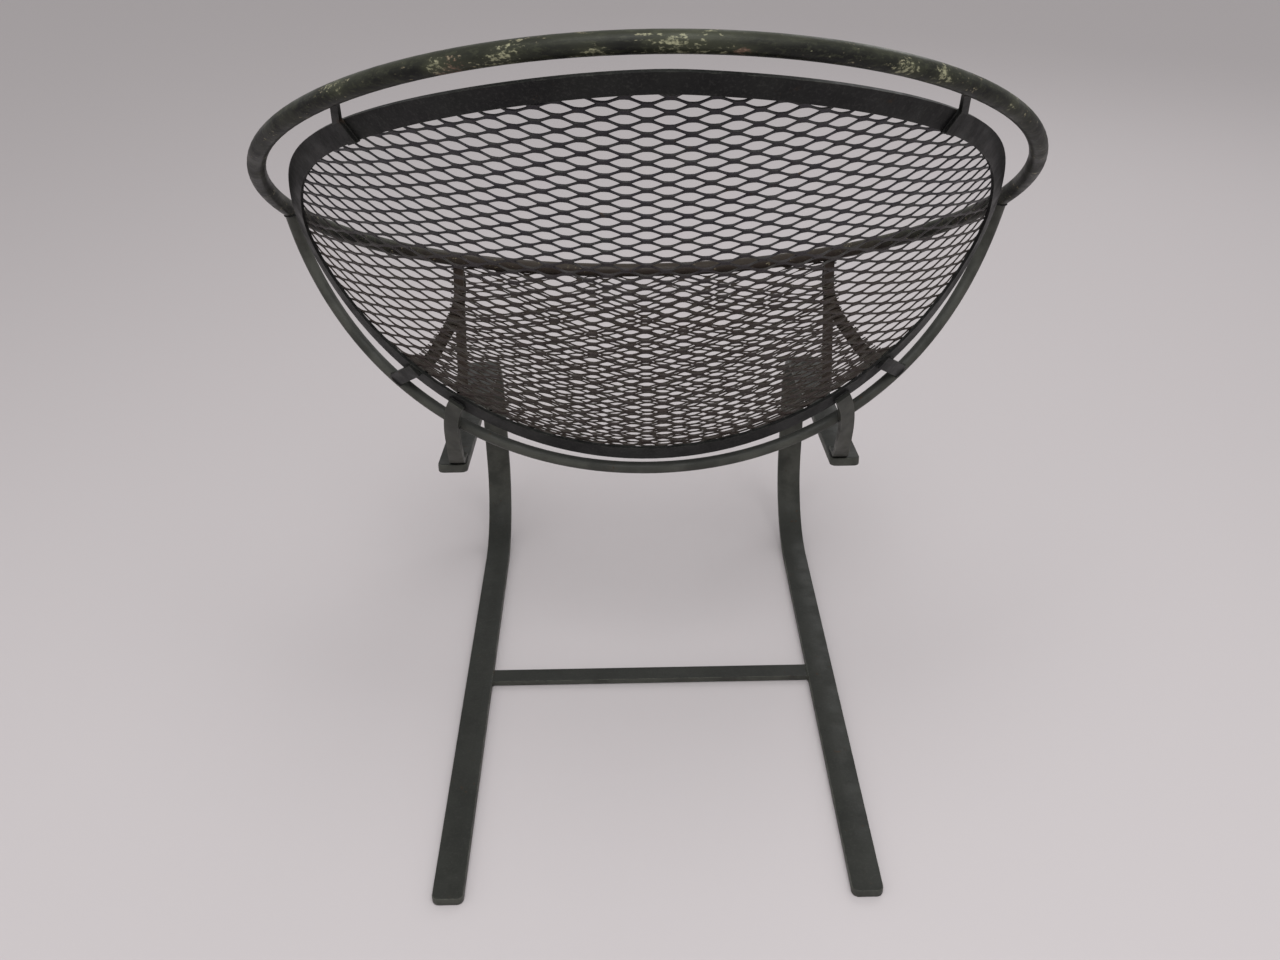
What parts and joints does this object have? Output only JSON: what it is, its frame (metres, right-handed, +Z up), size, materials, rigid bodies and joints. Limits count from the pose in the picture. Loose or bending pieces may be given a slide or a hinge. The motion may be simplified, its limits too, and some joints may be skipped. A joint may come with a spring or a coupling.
{
  "type": "spring lawn chair",
  "caption": "Low outdoor chair: a bucket seat of expanded metal in a round tube hoop, carried at the rear of two flat C-shaped steel springs that let it bounce.",
  "frame": {"origin": "on the floor, under the middle of the overall box", "axes": "+X towards the sitter's left, the sitter faces -Y, +Z up"},
  "size_m": [0.7186, 0.7379, 0.8435],
  "materials": {
    "painted_iron": "satin near-black paint on flat bar and round rod, worn grey-green along the arrises",
    "worn_painted_tube": "satin near-black paint over an older pale yellow-green coat that shows through in patches along the top",
    "rusty_painted_mesh": "thin near-black paint with a brown rust tint"
  },
  "bodies": {
    "base": {"spring_bar_left": "painted_iron", "spring_bar_right": "painted_iron", "cross_bar": "painted_iron"},
    "seat": {"hoop_rail": "worn_painted_tube", "back_rim": "painted_iron", "bowl_ring": "painted_iron", "back_mesh": "painted_iron", "seat_mesh": "rusty_painted_mesh", "seat_side_strap_left": "rusty_painted_mesh", "seat_side_strap_right": "rusty_painted_mesh", "hoop_tab_left": "painted_iron", "hoop_tab_right": "painted_iron", "rim_tab_left": "painted_iron", "rim_tab_right": "painted_iron", "front_strut_left": "rusty_painted_mesh", "front_strut_right": "rusty_painted_mesh", "rear_bracket_left": "painted_iron", "rear_bracket_right": "painted_iron", "mounting_plate_left": "painted_iron", "mounting_plate_right": "painted_iron", "plate_bolts": "painted_iron", "plate_washers": "painted_iron", "plate_nuts": "painted_iron"}
  },
  "joints": [
    {"name": "seat_bounce", "type": "hinge", "parent": "base", "child": "seat", "pos_m": [0, -0.36425, 0.162], "axis": [1, 0, 0], "range_deg": [-6, 2], "stiffness_Nm_per_rad": 1900, "springref_deg": 0.46, "deforming": ["spring_bar_left", "spring_bar_right"]}
  ]
}
